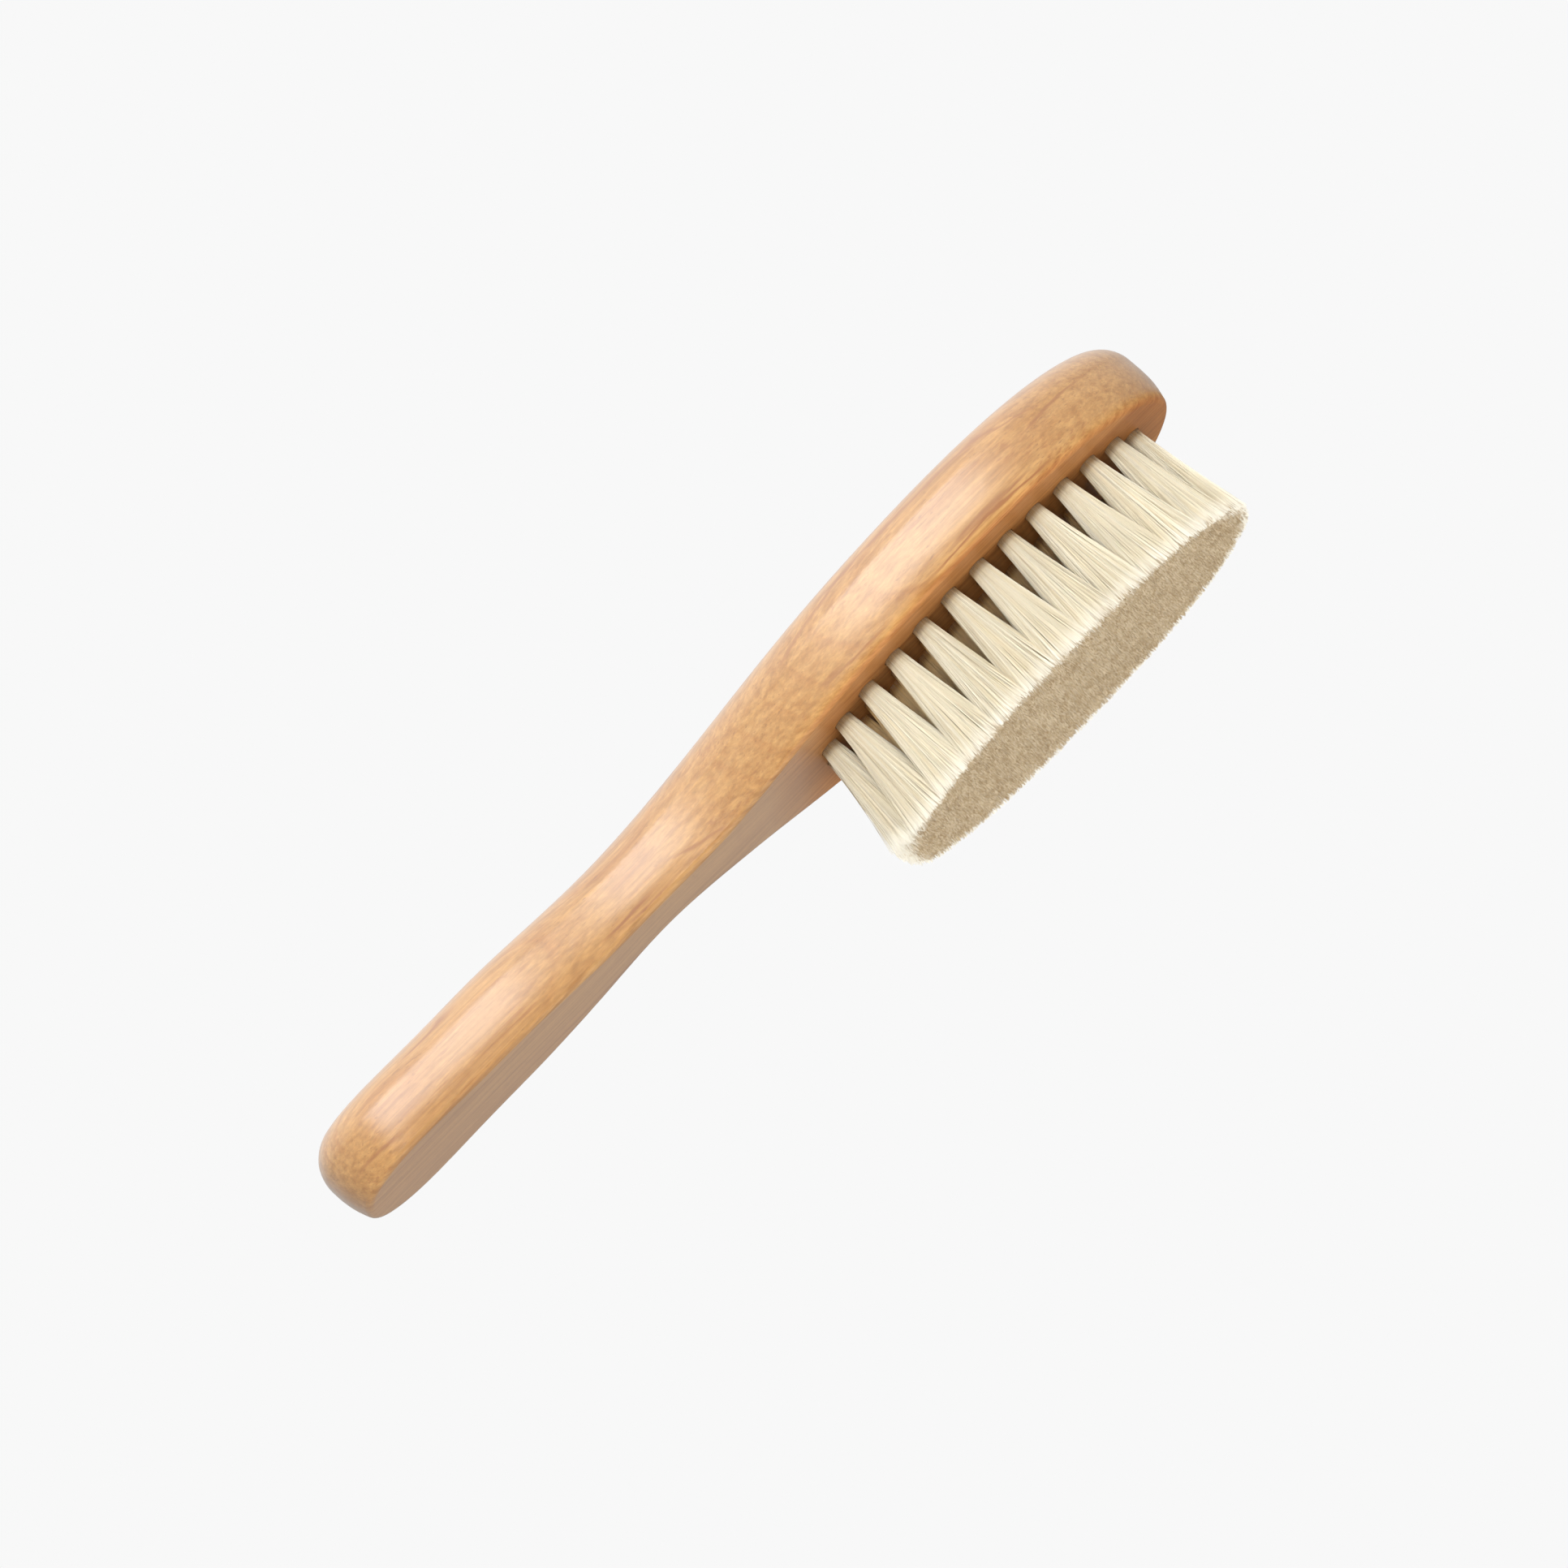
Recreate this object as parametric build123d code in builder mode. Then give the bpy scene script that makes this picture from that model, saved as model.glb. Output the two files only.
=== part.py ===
"""Small body brush: a one-piece wooden handle and head with tufts of bristle in blind holes.

Frame: millimetres, the brush lying on its back on z = 0. +X runs from the handle to the tip of
the head, +Y across it, and +Z out of the bristle side. The origin is under the middle of the
length, on the surface that the back rests on.
"""

from build123d import *
from bisect import bisect
from math import copysign, cos, dist, pi, radians, sin, sqrt
import os

os.makedirs("parts", exist_ok=True)

# ---- wooden body -------------------------------------------------------------------------
length = 175.0          # handle end to head tip
thickness = 13.8        # back of the head to the flat bristle face
widest_level = 7.6      # height at which the side wall stands furthest out
edge_inset = 1.3        # how far the bristle face's edge sits inside the widest outline
back_round = 5.2        # radius from the side wall round to the flat back
crease_round = 1.2      # soft round that breaks the bristle face's edge

handle_half_width = 10.8
handle_end_half_width = 10.6
handle_end_length = 12.0
handle_end_power = 2.5  # 2 is an ellipse, more is blunter
handle_end_angles = (14, 32, 54)    # where the outline's points lie round the end
handle_widest_x = 24.0
neck_half_width = 7.0
neck_x = 64.0
head_half_width = 24.4
head_widest_x = 136.5
head_tip_length = length - head_widest_x
head_tip_power = 2.03
head_tip_angles = (65, 43, 21)
# half-widths at stations between the handle and the head, measured from the handle end
flank = [(37.0, 10.35), (49.5, 8.5), (neck_x, neck_half_width), (76.0, 8.6), (86.5, 12.2)]
shoulder = [(96.0, 16.3), (108.0, 20.5), (121.0, 23.2)]

# the handle is thinner than the head: how far its back stands off the surface, by station
back_rise = [(-4.0, 1.3), (15.0, 1.35), (36.0, 1.0), (58.0, 0.85), (70.0, 0.45), (81.0, 0.12)]
back_rise_end = 92.0
back_cut_depth = 5.0    # the cutter that shapes the back reaches this far under the surface
neck_dip = 0.4          # the bristle face is sanded this much lower at the neck
neck_dip_reach = 18.0   # to each side of the neck

# ---- bristle field -----------------------------------------------------------------------
field_x = 132.6         # middle of the field, from the handle end
tip_field_x = 131.6     # the trimmed ends sit a little nearer to the handle
hole_radius = 1.7
hole_depth = 6.5
bristle_length = 20.8   # standing above the bristle face
root_radius = 1.62
anchor_clearance = 0.02 # between an anchor's top and the tuft folded over it
tip_radius = 2.85

# each ring: name, how many tufts, half-length and half-width at the face, then at the tips
rings = [
    ("outer", 26, 33.8, 14.6, 35.1, 15.05),
    ("middle", 19, 27.2, 7.6, 28.3, 8.0),
]
ring_power = 2.15       # 2 is an ellipse, more is squarer
ring_phase = 0.7        # the first tuft's place past the head end of its ring, in pitches
ring_steps = 720        # straight steps by which a ring's perimeter is measured
inner_count = 7
inner_half_length = 19.2
inner_tip_half_length = 19.4

# ---- anchors: flat wire driven into the hole bottoms, over which each tuft is folded -----
anchor_length = 3.1
anchor_height = 1.8
anchor_wire = 0.45
anchor_slot = anchor_wire + 0.1

mid_length = length / 2


def curve_point(angle, power):
    """Point on a quarter of a unit superellipse."""
    return cos(angle) ** (2 / power), sin(angle) ** (2 / power)


def outline_points(inset):
    """Points round the body's outline, drawn in from the widest one by inset."""
    points = [(inset, 0.0)]
    for angle in handle_end_angles:
        along, across = curve_point(radians(angle), handle_end_power)
        x = handle_end_length - (handle_end_length - inset) * along
        points.append((x, (handle_end_half_width - inset) * across))
    points.append((handle_widest_x, handle_half_width - inset))
    points += [(x, half_width - inset) for x, half_width in flank + shoulder]
    points.append((head_widest_x, head_half_width - inset))
    for angle in head_tip_angles:
        along, across = curve_point(radians(angle), head_tip_power)
        x = head_widest_x + (head_tip_length - inset) * along
        points.append((x, (head_half_width - inset) * across))
    points.append((length - inset, 0.0))
    points += [(x, -y) for x, y in points[-2:0:-1]]
    return [(x - mid_length, y) for x, y in points]


def ring_points(count, half_length, half_width, centre_x):
    """Points at an even pitch round a superellipse."""
    path = []
    for k in range(ring_steps + 1):
        angle = 2 * pi * k / ring_steps
        along = abs(cos(angle)) ** (2 / ring_power)
        across = abs(sin(angle)) ** (2 / ring_power)
        x = copysign(half_length * along, cos(angle))
        y = copysign(half_width * across, sin(angle))
        path.append((x, y))
    runs = [0.0]
    for p, q in zip(path, path[1:]):
        runs.append(runs[-1] + dist(p, q))
    points = []
    for i in range(count):
        goal = (i + ring_phase) % count * runs[-1] / count
        k = bisect(runs, goal) - 1
        share = (goal - runs[k]) / (runs[k + 1] - runs[k])
        x = path[k][0] + share * (path[k + 1][0] - path[k][0])
        y = path[k][1] + share * (path[k + 1][1] - path[k][1])
        points.append((centre_x - mid_length + x, y))
    return points


def row_points(count, half_length, centre_x):
    """Points at an even pitch along the middle line."""
    pitch = 2 * half_length / (count - 1)
    return [(centre_x - mid_length - half_length + i * pitch, 0.0) for i in range(count)]


tufts = {}
for name, count, face_a, face_b, tip_a, tip_b in rings:
    roots = ring_points(count, face_a, face_b, field_x)
    tips = ring_points(count, tip_a, tip_b, tip_field_x)
    tufts[name] = list(zip(roots, tips))
inner_roots = row_points(inner_count, inner_half_length, field_x)
inner_tips = row_points(inner_count, inner_tip_half_length, tip_field_x)
tufts["inner"] = list(zip(inner_roots, inner_tips))
all_roots = [root for group in tufts.values() for root, tip in group]

# ---- wooden body: a board with a rounded back, whose side wall leans in to the bristle face
rise = thickness - widest_level
bulge_radius = (rise**2 + edge_inset**2) / (2 * edge_inset)


def lean_in(share):
    """How far the side wall has come in, at a share of the way from its widest line to the face."""
    return bulge_radius - sqrt(bulge_radius**2 - (rise * share) ** 2)


with BuildPart() as wood_body:
    for share in (0, 1 / 3, 2 / 3, 1):
        with BuildSketch(Plane.XY.offset(widest_level + rise * share)):
            with BuildLine():
                Spline(outline_points(lean_in(share)), periodic=True)
            make_face()
    loft()
    with BuildSketch():
        with BuildLine():
            Spline(outline_points(0), periodic=True)
        make_face()
    extrude(amount=widest_level)
    with BuildSketch(Plane.XZ):
        with BuildLine():
            back_points = [(x - mid_length, z) for x, z in back_rise]
            back_end = (back_rise_end - mid_length, 0)
            Spline(back_points + [back_end], tangents=[(1, 0), (1, 0)])
            under_head = (back_end[0], -back_cut_depth)
            under_handle = (back_points[0][0], -back_cut_depth)
            Polyline(back_end, under_head, under_handle, back_points[0])
        make_face()
    extrude(amount=head_half_width, both=True, mode=Mode.SUBTRACT)
    with BuildSketch(Plane.XZ):
        with BuildLine():
            neck = neck_x - mid_length
            dip_ends = [(neck - neck_dip_reach, thickness), (neck + neck_dip_reach, thickness)]
            Spline(dip_ends[0], (neck, thickness - neck_dip), dip_ends[1], tangents=[(1, 0), (1, 0)])
            Line(dip_ends[1], dip_ends[0])
        make_face()
    extrude(amount=head_half_width, both=True, mode=Mode.SUBTRACT)
    fillet(wood_body.faces().sort_by(Axis.Z)[0].edges(), back_round)
    fillet(wood_body.faces().sort_by(Axis.Z)[-1].edges(), crease_round)
    with Locations([(x, y, thickness) for x, y in all_roots]):
        Hole(hole_radius, hole_depth)

wood_body.part.label = "wood_body"
export_step(wood_body.part, "parts/wood_body.step")

# ---- tufts -------------------------------------------------------------------------------
hole_bottom = thickness - hole_depth
for group, pairs in tufts.items():
    for i, (root, tip) in enumerate(pairs):
        with BuildPart() as tuft:
            with BuildSketch(Plane((root[0], root[1], hole_bottom))):
                Circle(root_radius)
            extrude(amount=hole_depth)
            with BuildSketch(Plane((root[0], root[1], thickness))):
                Circle(root_radius)
            with BuildSketch(Plane((tip[0], tip[1], thickness + bristle_length))):
                Circle(tip_radius)
            loft()
            with BuildSketch(Plane((root[0], root[1], hole_bottom))):
                Rectangle(2 * hole_radius, anchor_slot)
            extrude(amount=anchor_height + anchor_clearance, mode=Mode.SUBTRACT)
        tuft.part.label = f"tuft_{group}_{i + 1:02d}"
        export_step(tuft.part, f"parts/{tuft.part.label}.step")

    with BuildPart() as anchors:
        with BuildSketch(Plane.XY.offset(hole_bottom)):
            with Locations([root for root, tip in pairs]):
                Rectangle(anchor_length, anchor_wire)
        extrude(amount=anchor_height)
    anchors.part.label = f"anchors_{group}"
    export_step(anchors.part, f"parts/{anchors.part.label}.step")
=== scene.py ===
# Looks of a small wooden body brush: lacquered beech, tufts of fine bristle and steel anchors.
# Everything is in metres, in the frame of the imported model: the brush lies on its back on z = 0,
# +X runs to the tip of the head and +Z out of the bristle side.

import math

import bpy
import numpy as np
from mathutils import Matrix, Vector


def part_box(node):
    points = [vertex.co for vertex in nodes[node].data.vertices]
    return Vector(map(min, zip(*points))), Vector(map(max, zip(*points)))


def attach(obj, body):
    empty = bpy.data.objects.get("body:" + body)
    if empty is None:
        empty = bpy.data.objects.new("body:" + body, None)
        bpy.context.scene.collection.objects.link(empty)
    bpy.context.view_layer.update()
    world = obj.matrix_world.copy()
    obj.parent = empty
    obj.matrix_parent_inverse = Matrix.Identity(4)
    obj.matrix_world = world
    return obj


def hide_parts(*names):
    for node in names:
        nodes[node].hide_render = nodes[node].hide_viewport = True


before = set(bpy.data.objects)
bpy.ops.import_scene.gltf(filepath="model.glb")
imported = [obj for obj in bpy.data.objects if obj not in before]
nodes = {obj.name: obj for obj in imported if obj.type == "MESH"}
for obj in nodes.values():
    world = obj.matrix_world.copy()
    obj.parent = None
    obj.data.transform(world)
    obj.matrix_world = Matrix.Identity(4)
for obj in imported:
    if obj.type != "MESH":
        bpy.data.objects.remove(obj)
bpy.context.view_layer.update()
MM = 0.001

# ---- camera and light, measured from the brush ---------------------------------------------
CAMERA_AZIMUTH = math.radians(192.996)     # 0 stands in front of the -Y side, 90 in front of +X
CAMERA_ELEVATION = math.radians(15.18)
CAMERA_ROLL = math.radians(131.28)
CAMERA_DISTANCE = 1.0
CAMERA_LENS = 154.38                       # mm, on a sensor 36 mm wide
SIGHT_POINT = Vector((2.75, 1.29, 12.65)) * MM

FLOOR_LIGHT = 0.939                        # the pale floor and the space round it, as seen
FLOOR_HALF = 12.0
FLOOR_DROP = 0.3 * MM                      # how far the floor lies under the brush's back
# light from all round, by height from straight below (0) to straight above (1)
SKY = [(0.0, 1.45), (0.12, 1.2), (0.42, 0.50), (0.5, 0.45), (1.0, 0.34)]
# soft lights a metre away: name, direction, size in metres, watts, and whether the lacquer shows it
LIGHTS = [
    ("front", (0.08, 0.96, -0.28), (0.73, 0.69), 4.6, True),
    ("front_fill", (-0.22, 0.94, 0.26), (0.3, 0.3), 8.0, False),
    ("below", (0.1, 0.5, -0.85), (0.6, 0.6), 3.5, False),
    ("overhead", (0.0, 0.1, 1.0), (0.9, 0.9), 8.0, False),
    ("far_head", (0.80, -0.60, -0.12), (0.6, 0.6), 4.0, False),
    ("far_handle", (-0.75, -0.66, -0.12), (0.6, 0.6), 0.7, False),
]
# light is passed on often enough to reach the strands' roots
DIFFUSE_BOUNCES = 12
ALL_BOUNCES = 16

# ---- wood ----------------------------------------------------------------------------------
FACE_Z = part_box("wood_body")[1].z
PITH_FAR = 70.0 * MM                       # the pith of the tree, past the middle towards -Y
PITH_HEIGHT = 7.5 * MM
LAYER = 2.3 * MM                           # thickness of a year's growth
LAYER_WANDER = 1.3                         # how far a layer wanders, in layers
SANDED_AND_SHADED_FROM = (-2.0 * MM, 12.0 * MM)       # where the sanding and the painted shade round the bristle fade in along X,
SANDED_SIDE = (FACE_Z - 2.2 * MM, FACE_Z - 0.9 * MM)    # up the side wall,
FACE_SHADE_SPAN = (FACE_Z - 0.9 * MM, FACE_Z - 0.2 * MM)    # and where the painted shade that makes the face redder begins
SANDED_DULL = 0.8
STREAK_WIDTH = 0.36 * MM
STREAK_WAVE = 1.6 * MM
STREAK_FADE = 2.0 * MM                     # to each side of either end
# dark streaks on the +Y side wall: from (x, z) to (x, z) in mm, and how strong
STREAKS = [
    ((-84.0, 10.4), (-76.0, 11.2), 0.66),
    ((-68.0, 3.5), (-58.0, 3.3), 0.90),
    ((-34.0, 11.6), (-24.0, 11.2), 0.90),
    ((-30.0, 12.3), (-21.0, 12.2), 0.66),
    ((-18.0, 10.0), (-9.0, 13.2), 0.72),
    ((14.0, 11.0), (26.0, 12.3), 0.66),
    ((37.0, 12.4), (61.0, 12.3), 0.90),
    ((41.0, 11.6), (57.0, 11.5), 0.66),
    ((12.0, 3.8), (26.0, 1.9), 0.60),
    ((24.0, 1.9), (58.0, 2.4), 0.78),
    ((56.0, 2.4), (66.0, 4.9), 0.60),
    ((62.0, 6.9), (75.0, 5.6), 0.66),
]

# ---- bristle -------------------------------------------------------------------------------
STRANDS = {"outer": 1100, "middle": 700, "inner": 600}  # in a tuft, both ends of each counted
STRAND_RADIUS = 0.044 * MM
STRAND_SIDES = 3
# a strand's thickness by its reach from the face (0) to its end (1), which is split
STRAND_TAPER = ((0.0, 0.86, 1.0), (1.0, 0.97, 1.35))
# where a strand bends, from its fold in the hole (-1) through the face (0) to its end (1)
STATIONS = np.array([-0.97, -0.02, 0.06, 0.18, 0.34, 0.52, 0.70, 0.86, 1.0])
FOLD_PARTING = 0.34 * MM                   # room that the fold leaves for the anchor
FOLD_RISE = 0.05 * MM                      # how far the strands stand off the hole's floor
FIRST_SEED = 100

BUNDLE_RADIUS = 1.52 * MM                  # of the strands packed into a hole
FREE_SPREAD_LONG = 2.65 * MM               # how much wider a tuft grows where it has no neighbour
FREE_SPREAD_SIDE = 3.35 * MM
SPREAD_POWER = 1.2                         # over 1, a tuft widens most near its end
FILL_OUT = 1.2 * MM                        # extra spread that closes the rim between two tufts
CROSSING = 0.4 * MM                        # how far the ends of two neighbouring tufts mingle
CELL_SHARPNESS = 3.2 / MM                  # how suddenly a tuft stops spreading at its neighbour
LEVEL_TOLERANCE = 0.05 * MM

CLUMP = 8                                  # strands that lean together
CLUMP_PULL = 0.25                          # share of the way to the clump's middle
CLUMP_LEAN = 0.014                         # as a share of the tuft's radius
BOW = 0.04 * MM                            # how far a strand bows to one side
STRAY = 0.10 * MM                          # how far its end strays on the tuft's outside
STRAY_POWER = 1.5
# how many times as far it strays, by its place from the tuft's middle (0) to its outside (1)
STRAY_INSIDE = ((0.58, 0.88), (5.5, 1.0))

TRIM_SPREAD = 0.30 * MM                    # how unevenly the ends are trimmed
TRIM_MOST = 1.4 * MM
RIM_TRIM = 0.25 * MM                       # how much shorter the strands are at the rim
HEEL_TRIM = 2.6 * MM                       # and at the handle's end of the field
HEEL_REACH = 5.0 * MM
FRINGE = 1.30 * MM                         # depth of the rim strands, trimmed shorter and left out of the painted shade on the cut ends
FRINGE_START = 0.5                         # where the painted shade on the cut ends begins, in depths of the fringe
FRINGE_UNEVEN = (0.3, 0.4)                 # for a strand and for a clump
HEEL_PALE = 1.4                            # how strongly the handle's end is kept out of the painted shade, like the fringe
TONE_SHAPE = (2.2, 2.0)                    # of the spread of tones: most strands are near the middle
FIELD_POWER = 2.15                         # shape of the field's rim: 2 is an ellipse
RIM_SEARCH = 100 * MM                      # how far out from a tuft the rim is looked for
RIM_SEARCH_STEPS = 24
NO_LIMIT = 1.0                             # metres, far beyond the brush
SMALLEST = 1e-9                            # keeps a division from meeting zero
GOLDEN_ANGLE = math.pi * (3 - math.sqrt(5))


# ---- materials -----------------------------------------------------------------------------
class Shader:
    """One material and short names for building its nodes. Noise scales are per metre."""

    def __init__(self, name):
        self.material = bpy.data.materials.new(name)
        self.material.use_nodes = True
        self.tree = self.material.node_tree
        self.surface = self.tree.nodes["Principled BSDF"]

    def node(self, kind, inputs=None, **settings):
        """A node of a kind, with its settings, and its inputs as numbers or as other sockets."""
        made = self.tree.nodes.new(kind)
        for name, value in settings.items():
            setattr(made, name, value)
        for name, value in (inputs or {}).items():
            if isinstance(value, bpy.types.NodeSocket):
                self.tree.links.new(value, made.inputs[name])
            else:
                made.inputs[name].default_value = value
        return made

    def set(self, **sockets):
        """Numbers, colours or links on the surface shader, by socket name with _ for spaces."""
        for name, value in sockets.items():
            socket = self.surface.inputs[name.replace("_", " ")]
            if isinstance(value, bpy.types.NodeSocket):
                self.tree.links.new(value, socket)
            else:
                socket.default_value = value

    def strand_value(self, name):
        """A value that each strand of a mesh carries."""
        return self.node("ShaderNodeAttribute", attribute_name=name).outputs["Fac"]

    def axes(self, points=None):
        """The X, Y and Z of points, which are the frame's own if none are given."""
        if points is None:
            points = self.node("ShaderNodeTexCoord").outputs["Object"]
        return self.node("ShaderNodeSeparateXYZ", {"Vector": points}).outputs

    def place(self, scale, location=(0, 0, 0)):
        """Points of the frame, scaled and moved, for a texture."""
        points = self.node("ShaderNodeTexCoord").outputs["Object"]
        mapping = self.node("ShaderNodeMapping", {"Vector": points}, vector_type="POINT")
        mapping.inputs["Scale"].default_value = scale
        mapping.inputs["Location"].default_value = location
        return mapping.outputs["Vector"]

    def noise(self, scale, detail=2.0, rough=0.5, distortion=0.0, location=(0, 0, 0)):
        """Smooth noise, with its own scale along each axis."""
        inputs = {"Vector": self.place(scale, location), "Scale": 1.0, "Detail": detail}
        inputs.update({"Roughness": rough, "Distortion": distortion})
        return self.node("ShaderNodeTexNoise", inputs).outputs["Fac"]

    def ramp(self, value, *stops):
        """A smooth change between colours or grey levels at the given places."""
        made = self.node("ShaderNodeValToRGB", {"Fac": value})
        elements = made.color_ramp.elements
        while len(elements) < len(stops):
            elements.new(0.5)
        for element, (place, colour) in zip(elements, stops):
            element.position = place
            grey = isinstance(colour, (int, float))
            element.color = (colour, colour, colour, 1) if grey else (*colour, 1)
        return made.outputs["Color"]

    def patches(self, low, high, scale, **noise):
        """1 where a noise is over high, 0 where it is under low."""
        return self.ramp(self.noise(scale, **noise), (low, 0.0), (high, 1.0))

    def mix(self, kind, share, under, over):
        """Two colours blended in the named way."""
        made = self.node("ShaderNodeMix", data_type="RGBA", blend_type=kind)
        for name, value in (("Factor", share), ("A", under), ("B", over)):
            socket = next(s for s in made.inputs if s.name == name and s.enabled)
            if isinstance(value, bpy.types.NodeSocket):
                self.tree.links.new(value, socket)
            else:
                socket.default_value = value if name == "Factor" else (*value, 1)
        return next(s for s in made.outputs if s.enabled)

    def maths(self, kind, a, b=0.0):
        """One step of arithmetic."""
        made = self.node("ShaderNodeMath", operation=kind)
        for socket, value in zip(made.inputs, (a, b)):
            if isinstance(value, bpy.types.NodeSocket):
                self.tree.links.new(value, socket)
            else:
                socket.default_value = value
        return made.outputs[0]

    def step_up(self, axis, low, high):
        """0 below a place on an axis, 1 above another, and even between them."""
        inputs = {"Value": self.axes()[axis], "From Min": low, "From Max": high}
        return self.node("ShaderNodeMapRange", inputs).outputs["Result"]

    def bump(self, height, depth, strength=1.0):
        """Small relief of a depth in metres."""
        inputs = {"Height": height, "Distance": depth, "Strength": strength}
        self.set(Normal=self.node("ShaderNodeBump", inputs).outputs["Normal"])


def long_streak(s, start, end):
    """1 along a thin wavering line on the +Y side, between two places given as (x, z)."""
    wave = s.noise((120, 60, 900), detail=2.0, location=(start[0], 2, end[0]))
    wave = s.maths("MULTIPLY", s.maths("SUBTRACT", wave, 0.5), STREAK_WAVE)
    axes = s.axes()
    slope = (end[1] - start[1]) / (end[0] - start[0])
    rise = s.maths("MULTIPLY", s.maths("SUBTRACT", axes["X"], start[0] * MM), slope)
    off = s.maths("SUBTRACT", axes["Z"], s.maths("ADD", rise, start[1] * MM))
    off = s.maths("ABSOLUTE", s.maths("ADD", off, wave))
    line = s.ramp(s.maths("DIVIDE", off, STREAK_WIDTH), (0.3, 1.0), (1.0, 0.0))
    begun = s.step_up("X", start[0] * MM - STREAK_FADE, start[0] * MM + STREAK_FADE)
    ended = s.step_up("X", end[0] * MM - STREAK_FADE, end[0] * MM + STREAK_FADE)
    here = s.maths("MULTIPLY", begun, s.maths("SUBTRACT", 1.0, ended))
    here = s.maths("MULTIPLY", here, s.step_up("Y", 0, 1 * MM))
    return s.maths("MULTIPLY", line, here)


def growth_layers(s, colour):
    """Layers of growth round a pith beyond the -Y side, clearer in some places than in others."""
    axes = s.axes(s.place((1, 1, 1), (0, PITH_FAR, -PITH_HEIGHT)))
    across = s.maths("POWER", axes["Y"], 2.0)
    up = s.maths("POWER", axes["Z"], 2.0)
    radius = s.maths("SQRT", s.maths("ADD", across, up))
    wander = s.noise((16, 45, 45), detail=2.0, location=(3, 0, 1))
    wander = s.maths("MULTIPLY", wander, LAYER_WANDER)
    layer = s.maths("ADD", s.maths("DIVIDE", radius, LAYER), wander)
    edge = (0.84, 0.71, 0.58)
    stops = [(0.0, edge), (0.10, (1, 1, 1)), (0.75, (0.97, 0.94, 0.90)), (1.0, edge)]
    bands = s.ramp(s.maths("FRACT", layer), *stops)
    clear = s.noise((22, 90, 90), detail=1.0, location=(6, 2, 8))
    clear = s.ramp(clear, (0.38, 0.1), (0.62, 0.75))
    return s.mix("MULTIPLY", clear, colour, bands)


def dark_marks(s, colour):
    """Short streaks and small flecks in patches, and the long streaks on the +Y side."""
    short = s.patches(0.575, 0.66, (85, 2300, 2300), location=(5, 1, 9))
    where = s.patches(0.47, 0.60, (30, 160, 160), detail=1.0, location=(8, 3, 6))
    share = s.maths("MULTIPLY", s.maths("MULTIPLY", short, where), 0.55)
    colour = s.mix("MIX", share, colour, (0.27, 0.105, 0.030))

    fleck = s.patches(0.66, 0.73, (620, 3600, 3600), detail=1.0, rough=0.4, location=(11, 5, 7))
    where = s.patches(0.4, 0.6, (60, 160, 160), detail=1.0, location=(4, 9, 2))
    share = s.maths("MULTIPLY", s.maths("MULTIPLY", fleck, where), 0.5)
    colour = s.mix("MIX", share, colour, (0.18, 0.07, 0.022))

    for start, end, strength in STREAKS:
        share = s.maths("MULTIPLY", long_streak(s, start, end), strength)
        colour = s.mix("MIX", share, colour, (0.25, 0.095, 0.028))
    return colour


def wood():
    """Lacquered beech: growth layers cut by the rounded sides, fine fibre, dark streaks, flecks, and
    painted shade on the face by the bristle.
    """
    s = Shader("lacquered_beech")
    broad = s.noise((14, 60, 60), detail=3.0, rough=0.55)
    colour = s.ramp(broad, (0.25, (0.372, 0.183, 0.050)), (0.75, (0.437, 0.236, 0.079)))
    colour = growth_layers(s, colour)

    bundle = s.noise((24, 1050, 1050), detail=3.0, rough=0.6, distortion=0.15, location=(1, 4, 2))
    shade = s.ramp(bundle, (0.33, (0.81, 0.73, 0.63)), (0.62, (1.06, 1.08, 1.10)))
    colour = s.mix("MULTIPLY", 1.0, colour, shade)
    fibre = s.noise((55, 3200, 3200), detail=3.0, rough=0.65)
    colour = s.mix("MULTIPLY", 1.0, colour, s.ramp(fibre, (0.30, 0.82), (0.70, 1.10)))
    mottle = s.noise((900, 1900, 1900), detail=2.0, rough=0.6, location=(2, 7, 5))
    shade = s.ramp(mottle, (0.30, (0.93, 0.91, 0.88)), (0.70, (1.04, 1.05, 1.06)))
    colour = s.mix("MULTIPLY", 1.0, colour, shade)
    colour = dark_marks(s, colour)

    # round the bristle the wood was sanded after drilling, so it is duller; its face there is painted
    # redder and darker, as painted shade reddened by light bounced off the wood
    along = s.step_up("X", *SANDED_AND_SHADED_FROM)
    sanded = s.maths("MULTIPLY", along, s.step_up("Z", *SANDED_SIDE))
    face = s.maths("MULTIPLY", along, s.step_up("Z", *FACE_SHADE_SPAN))
    # painted shade, redder and darker, on the face in front of the bristle
    colour = s.mix("MULTIPLY", face, colour, (0.99, 0.80, 0.70))
    dulled = s.maths("MULTIPLY", sanded, SANDED_DULL)
    dull = s.maths("MAXIMUM", s.ramp(fibre, (0.3, 0.44), (0.7, 0.36)), dulled)
    s.set(Base_Color=colour, Roughness=dull, Specular_IOR_Level=0.5)
    s.set(Coat_Weight=s.maths("SUBTRACT", 1.0, dulled), Coat_Roughness=0.29, Coat_IOR=1.95)
    s.bump(fibre, 0.02 * MM, 0.5)
    return s.material


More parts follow.
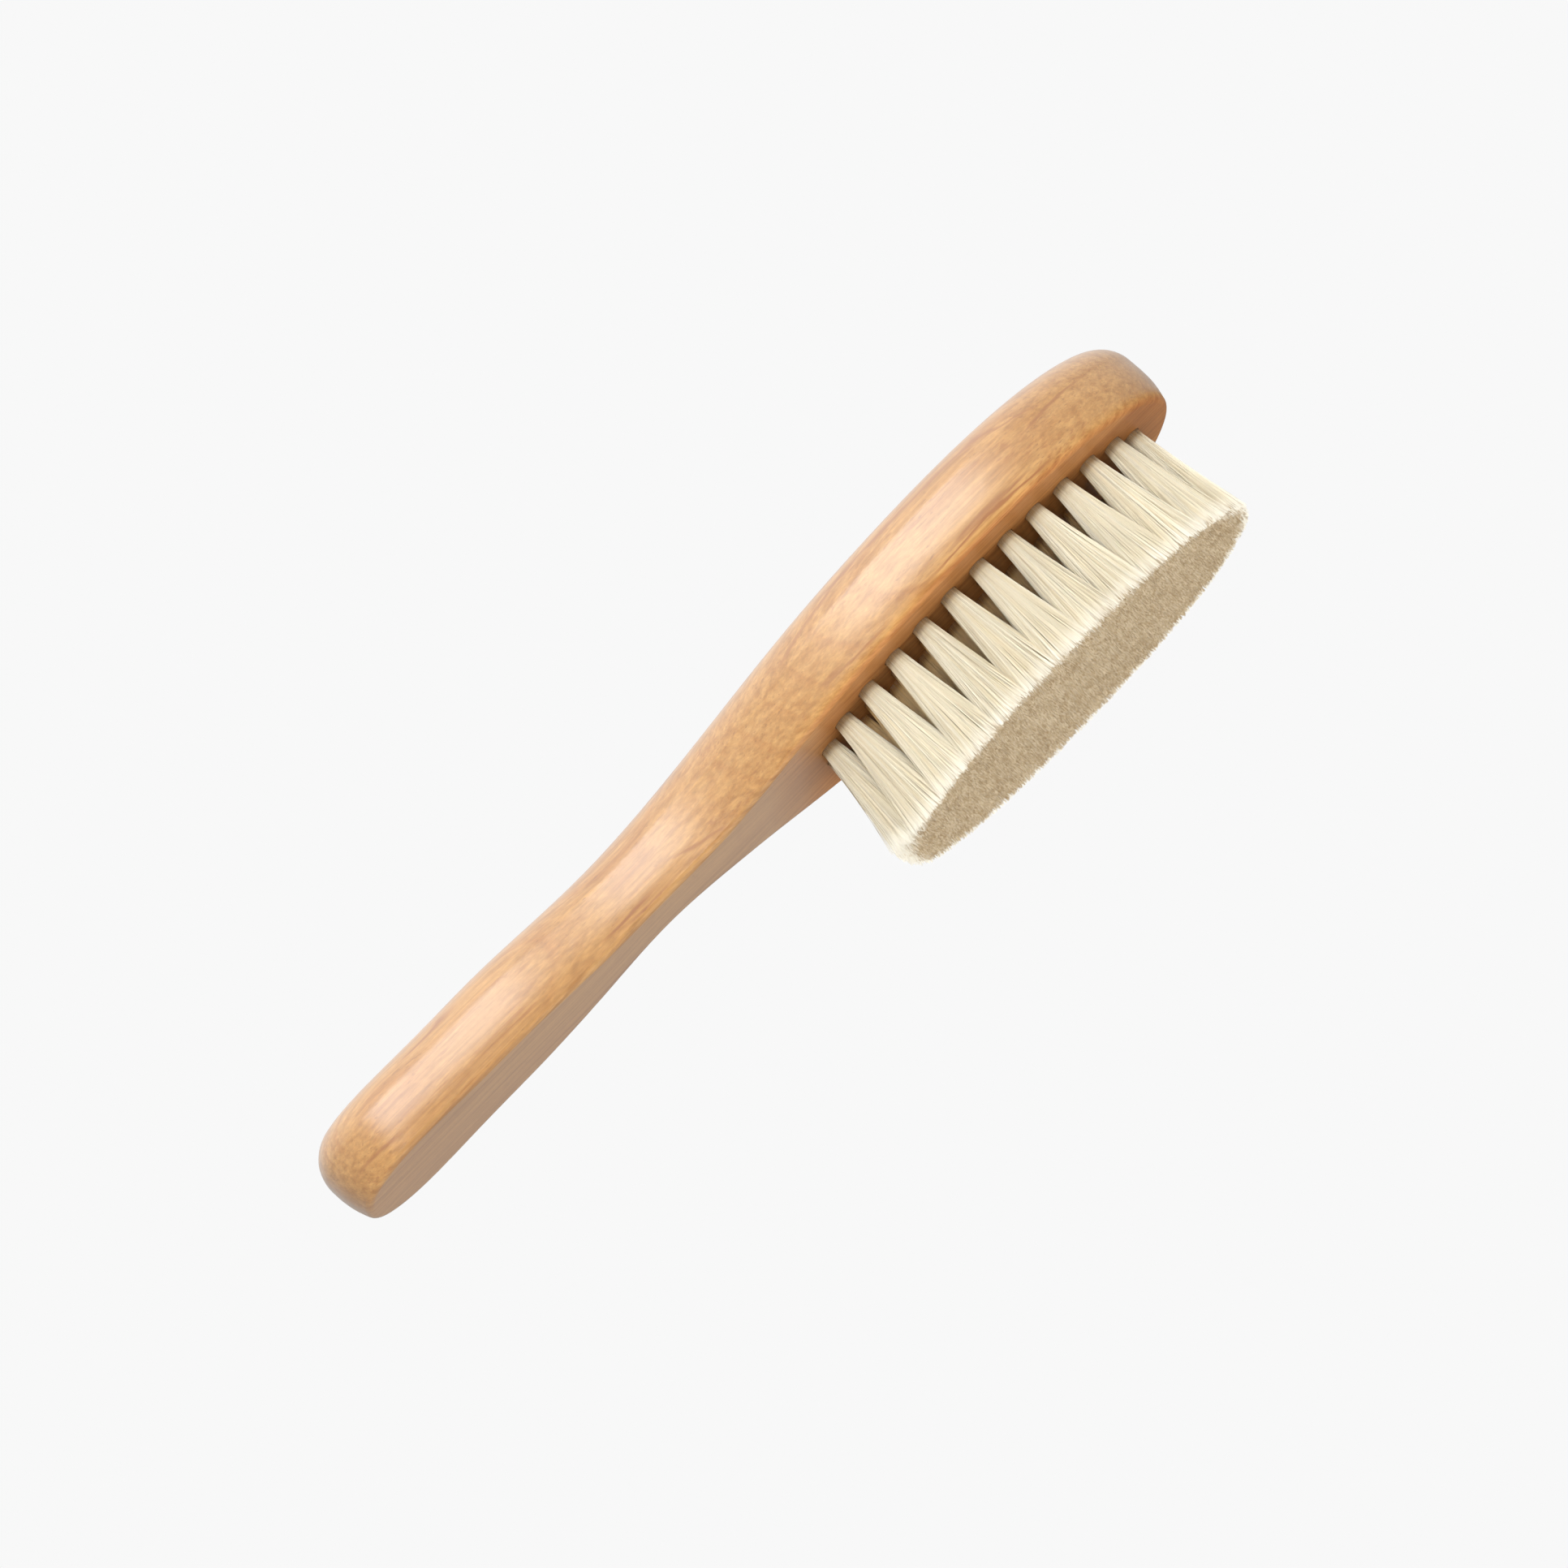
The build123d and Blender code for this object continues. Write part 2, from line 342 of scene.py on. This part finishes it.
def bristle():
    """Cream bristle, each strand and its cut end in its own tone, with painted shade where it leaves the
    wood, between the tufts and on the cut ends, and painted light near its end.
    """
    s = Shader("cream_bristle")
    tone, inner, heart, reach = map(s.strand_value, ("tone", "inner", "heart", "reach"))
    creams = [(0.1, (0.75, 0.65, 0.455)), (0.45, (0.81, 0.735, 0.56)), (0.9, (0.86, 0.81, 0.67))]
    # the next two lists are painted shade: at the strands' roots, and on their cut ends
    root_shade = [(0.0, (0.26, 0.15, 0.075)), (0.035, (0.38, 0.27, 0.17)), (0.08, (0.88, 0.84, 0.78))]
    cut_end_shade = [(0.20, (0.32, 0.22, 0.112)), (0.50, (0.47, 0.355, 0.212)), (0.80, (0.65, 0.535, 0.365))]
    colour = s.ramp(tone, *creams)
    # painted shade: each strand darkens to brown where it leaves the wood
    colour = s.mix("MULTIPLY", 1.0, colour, s.ramp(reach, *root_shade, (0.14, (1, 1, 1))))

    # painted shade: the rows behind the outer one are made browner, most near the root, for the shade
    # between the tufts
    inner_shade = s.ramp(reach, (0.0, (1.0, 0.76, 0.46)), (0.85, (1.0, 0.88, 0.66)))
    colour = s.mix("MULTIPLY", inner, colour, inner_shade)
    # painted light: every strand grows paler near its end, for light shining through the thin ends
    colour = s.mix("MIX", s.ramp(reach, (0.84, 0.0), (0.98, 0.6)), colour, (0.90, 0.87, 0.79))

    # painted shade: the cut ends are darkened to beige on the trimmed face, but not on the fringe round
    # its rim
    cut = s.maths("MULTIPLY", heart, s.ramp(reach, (0.93, 0.0), (0.99, 1.0)))
    colour = s.mix("MIX", cut, colour, s.ramp(tone, *cut_end_shade))
    s.set(Base_Color=colour, Roughness=0.42, Specular_IOR_Level=0.35)
    s.set(Sheen_Weight=0.15, Sheen_Roughness=0.4)
    return s.material


def anchor_steel():
    """Drawn steel wire, faintly streaked along its length."""
    s = Shader("anchor_steel")
    streak = s.noise((300, 9000, 9000), detail=2.0)
    s.set(Base_Color=s.ramp(streak, (0.3, (0.42, 0.42, 0.43)), (0.7, (0.60, 0.60, 0.61))))
    s.set(Metallic=1.0, Roughness=s.ramp(streak, (0.3, 0.28), (0.7, 0.45)))
    s.bump(streak, 0.01 * MM, 0.5)
    return s.material


# ---- tufts ---------------------------------------------------------------------------------
def tuft_ends(node):
    """A packed tuft's middle at the hole's floor and at its trimmed end."""
    points = np.array([v.co for v in node.data.vertices])
    ends = []
    for level in (points[:, 2].min(), points[:, 2].max()):
        ring = points[abs(points[:, 2] - level) < LEVEL_TOLERANCE]
        ends.append(Vector((ring.min(0) + ring.max(0)) / 2))
    return ends


def even_disc(count, turn=0.0):
    """Places spread evenly over a disc: the way to each from its middle, and its share of the radius."""
    angle = np.arange(count) * GOLDEN_ANGLE + turn
    share = np.sqrt((np.arange(count) + 0.5) / count)
    return np.stack([np.cos(angle), np.sin(angle)], axis=1), share


def smooth_least(a, b, sharpness):
    """The lesser of two lengths, with a rounded change from one to the other."""
    return -np.logaddexp(-a * sharpness, -b * sharpness) / sharpness


def cell_reach(way, middle, others):
    """How far each strand may lean, along its own way, before it meets the next tuft."""
    reach = np.full(len(way), NO_LIMIT)
    for other in others:
        gap = np.array((other - middle).xy)
        facing = way @ gap
        limit = (gap @ gap / 2) / np.maximum(facing, SMALLEST)
        reach = np.minimum(reach, np.where(facing > 0, limit, NO_LIMIT))
    return reach


def field_inset(places, field):
    """How far inside the trimmed field's rim each place lies."""
    middle, half = field
    off = places - middle
    round_rim = (np.abs(off / half) ** FIELD_POWER).sum(1) ** (1 / FIELD_POWER)
    return np.linalg.norm(off, axis=1) * (1 / np.maximum(round_rim, SMALLEST) - 1)


def rim_reach(middle, way, field):
    """How far each strand of a tuft may lean, along its own way, before it leaves the field."""
    near, far = np.zeros(len(way)), np.full(len(way), RIM_SEARCH)
    for _ in range(RIM_SEARCH_STEPS):
        reach = (near + far) / 2
        off = (middle + way * reach[:, None] - field[0]) / field[1]
        inside = (np.abs(off) ** FIELD_POWER).sum(1) < 1
        near, far = np.where(inside, reach, near), np.where(inside, far, reach)
    return near


def tuft_spread(way, middle, field):
    """How much wider a tuft grows each way if it has no neighbour: it fills out to the field's rim."""
    spread = FREE_SPREAD_LONG + (FREE_SPREAD_SIDE - FREE_SPREAD_LONG) * way[:, 1] ** 2
    off = (middle - field[0]) / field[1]
    outward = np.sign(off) * np.abs(off) ** (FIELD_POWER - 1) / field[1]
    facing = (way @ (outward / max(np.linalg.norm(outward), SMALLEST))).clip(0, 1)
    return np.minimum(spread + FILL_OUT * facing, rim_reach(middle, way, field) - BUNDLE_RADIUS)


def strand_mesh(name, root, tip, others, drift, field, seed):
    """One tuft as a mesh of thin strands, folded into its hole and fanned out above it."""
    random = np.random.default_rng(seed)
    count = STRANDS[name.split("_")[1]]
    way, share = even_disc(count, random.uniform(0, 2 * math.pi))
    flat = way * share[:, None]

    # small clumps inside the tuft lean together
    clumps = count // CLUMP
    clump_way, clump_share = even_disc(clumps)
    clump_at = clump_way * clump_share[:, None]
    nearest = ((flat[:, None] - clump_at[None]) ** 2).sum(2).argmin(1)
    pull = (clump_at[nearest] - flat) * CLUMP_PULL
    lean = random.normal(0, CLUMP_LEAN, (clumps, 2))[nearest]

    middle = np.array(root.xy)
    cell = cell_reach(way, root, others)
    spread = tuft_spread(way, middle + drift, field)
    bow = random.normal(0, BOW, (count, 2))
    stray = random.normal(0, STRAY, (count, 2)) * np.interp(share, *STRAY_INSIDE)[:, None]

    def places_at(up):
        """Where the strands are, at a share of the way from the face to their ends."""
        free = BUNDLE_RADIUS + spread * up ** SPREAD_POWER
        wide = smooth_least(free, cell + CROSSING * up, CELL_SHARPNESS)
        place = middle + flat * wide[:, None] + drift * up
        place += (pull * up + lean) * wide[:, None] * up
        return place + bow * math.sin(math.pi * up) + stray * up ** STRAY_POWER

    def uneven(of_strand, of_clump):
        """A random amount for each strand, in part the same all through a clump."""
        own = random.normal(0, of_strand, count)
        return own + random.normal(0, of_clump, clumps)[nearest]

    ends = places_at(1.0)
    inset = field_inset(ends, field)
    heel_share = np.clip(1 - (ends[:, 0] - (field[0][0] - field[1][0])) / HEEL_REACH, 0, 1)
    trim = np.abs(uneven(TRIM_SPREAD, TRIM_SPREAD)).clip(0, TRIM_MOST)
    trim += RIM_TRIM * np.exp(-np.maximum(inset, 0) / FRINGE)
    trim += HEEL_TRIM * heel_share ** 2
    rows = []
    for height in STATIONS:
        if height < 0:
            place = middle + flat * BUNDLE_RADIUS
            level = np.full(count, FACE_Z + height * (FACE_Z - root.z) + FOLD_RISE)
        else:
            place = places_at(height)
            level = FACE_Z + (tip.z - trim - FACE_Z) * height
        if height == STATIONS[0]:
            part = np.where(flat[:, 1] >= 0, FOLD_PARTING, -FOLD_PARTING)
            place[:, 1] += part * (1 - abs(flat[:, 1]))
        rows.append(np.column_stack([place, level]))
    lines = np.stack(rows, axis=1)  # strand, station, xyz

    tone = (random.beta(*TONE_SHAPE, count) + random.uniform(0, 1, clumps)[nearest]) / 2
    heart = inset / FRINGE - FRINGE_START + uneven(*FRINGE_UNEVEN) - HEEL_PALE * heel_share
    inner = np.full(count, 0.0 if "outer" in name else 1.0)
    values = {"tone": tone, "heart": np.clip(heart, 0, 1), "inner": inner}
    return build_strands(name, lines, values, random)


def build_strands(name, lines, values, random):
    """A mesh of three-sided strands along the given lines."""
    count, steps, _ = lines.shape
    along = np.gradient(lines, axis=1)
    along /= np.linalg.norm(along, axis=2, keepdims=True)
    turn = random.uniform(0, 2 * math.pi, count)
    thickness = STRAND_RADIUS * np.interp(STATIONS, *STRAND_TAPER)[None, :, None]
    corners = []
    for k in range(STRAND_SIDES):
        a = turn + 2 * math.pi * k / STRAND_SIDES
        out = np.stack([np.cos(a), np.sin(a), np.zeros(count)], axis=1)[:, None, :]
        out = out - (out * along).sum(2, keepdims=True) * along
        corners.append(lines + out * thickness)
    points = np.stack(corners, axis=2).reshape(-1, 3)  # strand, station, corner

    first = (np.arange(count) * steps * STRAND_SIDES)[:, None]
    faces = []
    for j in range(steps - 1):
        for k in range(STRAND_SIDES):
            a = j * STRAND_SIDES + k
            b = j * STRAND_SIDES + (k + 1) % STRAND_SIDES
            faces.append(first + np.array([a, b, b + STRAND_SIDES, a + STRAND_SIDES]))
    quads = np.concatenate(faces)
    end = (steps - 1) * STRAND_SIDES
    caps = np.concatenate([first + np.array([2, 1, 0]), first + end + np.array([0, 1, 2])])

    mesh = bpy.data.meshes.new(name)
    loops = np.concatenate([quads.ravel(), caps.ravel()])
    sizes = np.concatenate([np.full(len(quads), 4), np.full(len(caps), 3)])
    mesh.vertices.add(len(points))
    mesh.vertices.foreach_set("co", points.astype(np.float32).ravel())
    mesh.loops.add(len(loops))
    mesh.loops.foreach_set("vertex_index", loops.astype(np.int32))
    mesh.polygons.add(len(sizes))
    mesh.polygons.foreach_set("loop_start", (np.cumsum(sizes) - sizes).astype(np.int32))
    mesh.polygons.foreach_set("use_smooth", np.ones(len(sizes), bool))
    carried = {label: np.repeat(value, steps * STRAND_SIDES) for label, value in values.items()}
    carried["reach"] = np.tile(np.repeat(np.clip(STATIONS, 0, 1), STRAND_SIDES), count)
    for label, value in carried.items():
        attribute = mesh.attributes.new(label, "FLOAT", "POINT")
        attribute.data.foreach_set("value", value.astype(np.float32))
    mesh.update(calc_edges=True)
    mesh.validate()
    return mesh


def make_tufts(material):
    """Every packed tuft replaced by its strands."""
    ends = {name: tuft_ends(node) for name, node in nodes.items() if name.startswith("tuft_")}
    roots = np.array([root.xy for root, tip in ends.values()])
    drift = np.mean([(tip - root).xy for root, tip in ends.values()], axis=0)
    half = np.ptp(roots, axis=0) / 2 + BUNDLE_RADIUS
    half += np.array([FREE_SPREAD_LONG, FREE_SPREAD_SIDE])
    field = ((roots.min(0) + roots.max(0)) / 2 + drift, half)
    for seed, (name, (root, tip)) in enumerate(sorted(ends.items()), FIRST_SEED):
        others = [ends[other][0] for other in ends if other != name]
        strands = name.replace("tuft", "strands")
        mesh = strand_mesh(strands, root, tip, others, drift, field, seed)
        mesh.materials.append(material)
        piece = bpy.data.objects.new(mesh.name, mesh)
        bpy.context.scene.collection.objects.link(piece)
        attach(piece, "root")
        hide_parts(name)


# ---- studio --------------------------------------------------------------------------------
def sight(azimuth, elevation):
    """Unit vector from the brush towards a place round it."""
    level = math.cos(elevation)
    return Vector((math.sin(azimuth) * level, -math.cos(azimuth) * level, math.sin(elevation)))


def make_camera():
    """A camera that looks at the brush from the bristle's side, with the handle to the lower left."""
    data = bpy.data.cameras.new("camera")
    data.lens = CAMERA_LENS
    data.clip_start = 0.01
    data.clip_end = 100
    camera = bpy.data.objects.new("camera", data)
    bpy.context.scene.collection.objects.link(camera)
    back = sight(CAMERA_AZIMUTH, CAMERA_ELEVATION)
    level_right = Vector((0, 0, 1)).cross(back).normalized()
    level_up = back.cross(level_right)
    right = level_right * math.cos(CAMERA_ROLL) + level_up * math.sin(CAMERA_ROLL)
    up = back.cross(right)
    turn = Matrix((right, up, back)).transposed().to_4x4()
    camera.matrix_world = Matrix.Translation(SIGHT_POINT + back * CAMERA_DISTANCE) @ turn
    bpy.context.scene.camera = camera


def make_floor():
    """A pale floor that only the camera sees."""
    mesh = bpy.data.meshes.new("floor")
    h = FLOOR_HALF
    mesh.from_pydata([(-h, -h, 0), (h, -h, 0), (h, h, 0), (-h, h, 0)], [], [(0, 1, 2, 3)])
    s = Shader("pale_floor")
    s.set(Base_Color=(0, 0, 0, 1), Specular_IOR_Level=0.0)
    s.set(Emission_Color=(1, 1, 1, 1), Emission_Strength=FLOOR_LIGHT)
    mesh.materials.append(s.material)
    floor = bpy.data.objects.new("floor", mesh)
    floor.location.z = -FLOOR_DROP
    bpy.context.scene.collection.objects.link(floor)
    for ray in ("diffuse", "glossy", "transmission", "shadow", "volume_scatter"):
        setattr(floor, f"visible_{ray}", False)


def make_sky():
    """Light from all round the brush, and an even pale space for the camera."""
    world = bpy.data.worlds.new("studio")
    bpy.context.scene.world = world
    world.use_nodes = True
    tree = world.node_tree
    background = tree.nodes["Background"]
    seen = tree.nodes.new("ShaderNodeLightPath").outputs["Is Camera Ray"]
    way = tree.nodes.new("ShaderNodeTexCoord").outputs["Generated"]
    split = tree.nodes.new("ShaderNodeSeparateXYZ")
    tree.links.new(way, split.inputs[0])
    height = tree.nodes.new("ShaderNodeMapRange")
    height.inputs["From Min"].default_value = -1.0
    tree.links.new(split.outputs["Z"], height.inputs["Value"])
    fade = tree.nodes.new("ShaderNodeValToRGB")
    while len(fade.color_ramp.elements) < len(SKY):
        fade.color_ramp.elements.new(0.5)
    for element, (place, light) in zip(fade.color_ramp.elements, SKY):
        element.position = place
        element.color = (light, light, light, 1)
    tree.links.new(height.outputs["Result"], fade.inputs["Fac"])
    strength = tree.nodes.new("ShaderNodeMix")
    tree.links.new(seen, strength.inputs["Factor"])
    tree.links.new(fade.outputs["Color"], strength.inputs["A"])
    strength.inputs["B"].default_value = FLOOR_LIGHT
    background.inputs["Color"].default_value = (1, 1, 1, 1)
    tree.links.new(strength.outputs["Result"], background.inputs["Strength"])


def make_light(name, towards, size, power, shines):
    """A soft light a metre away in a direction, which shows in the lacquer only if it shines."""
    data = bpy.data.lights.new(name, "AREA")
    data.shape = "RECTANGLE"
    data.size, data.size_y = size
    data.energy = power
    lamp = bpy.data.objects.new(name, data)
    bpy.context.scene.collection.objects.link(lamp)
    towards = Vector(towards).normalized()
    lamp.location = SIGHT_POINT + towards
    lamp.rotation_euler = towards.to_track_quat("Z", "X").to_euler()
    lamp.visible_glossy = shines


make_camera()
make_floor()
make_sky()
for light in LIGHTS:
    make_light(*light)
nodes["wood_body"].material_slots[0].material = wood()
steel = anchor_steel()
for name in ("anchors_outer", "anchors_middle", "anchors_inner"):
    nodes[name].material_slots[0].material = steel
make_tufts(bristle())

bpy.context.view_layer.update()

scene = bpy.context.scene
scene.view_settings.view_transform = "Standard"
scene.cycles.diffuse_bounces = DIFFUSE_BOUNCES
scene.cycles.max_bounces = ALL_BOUNCES
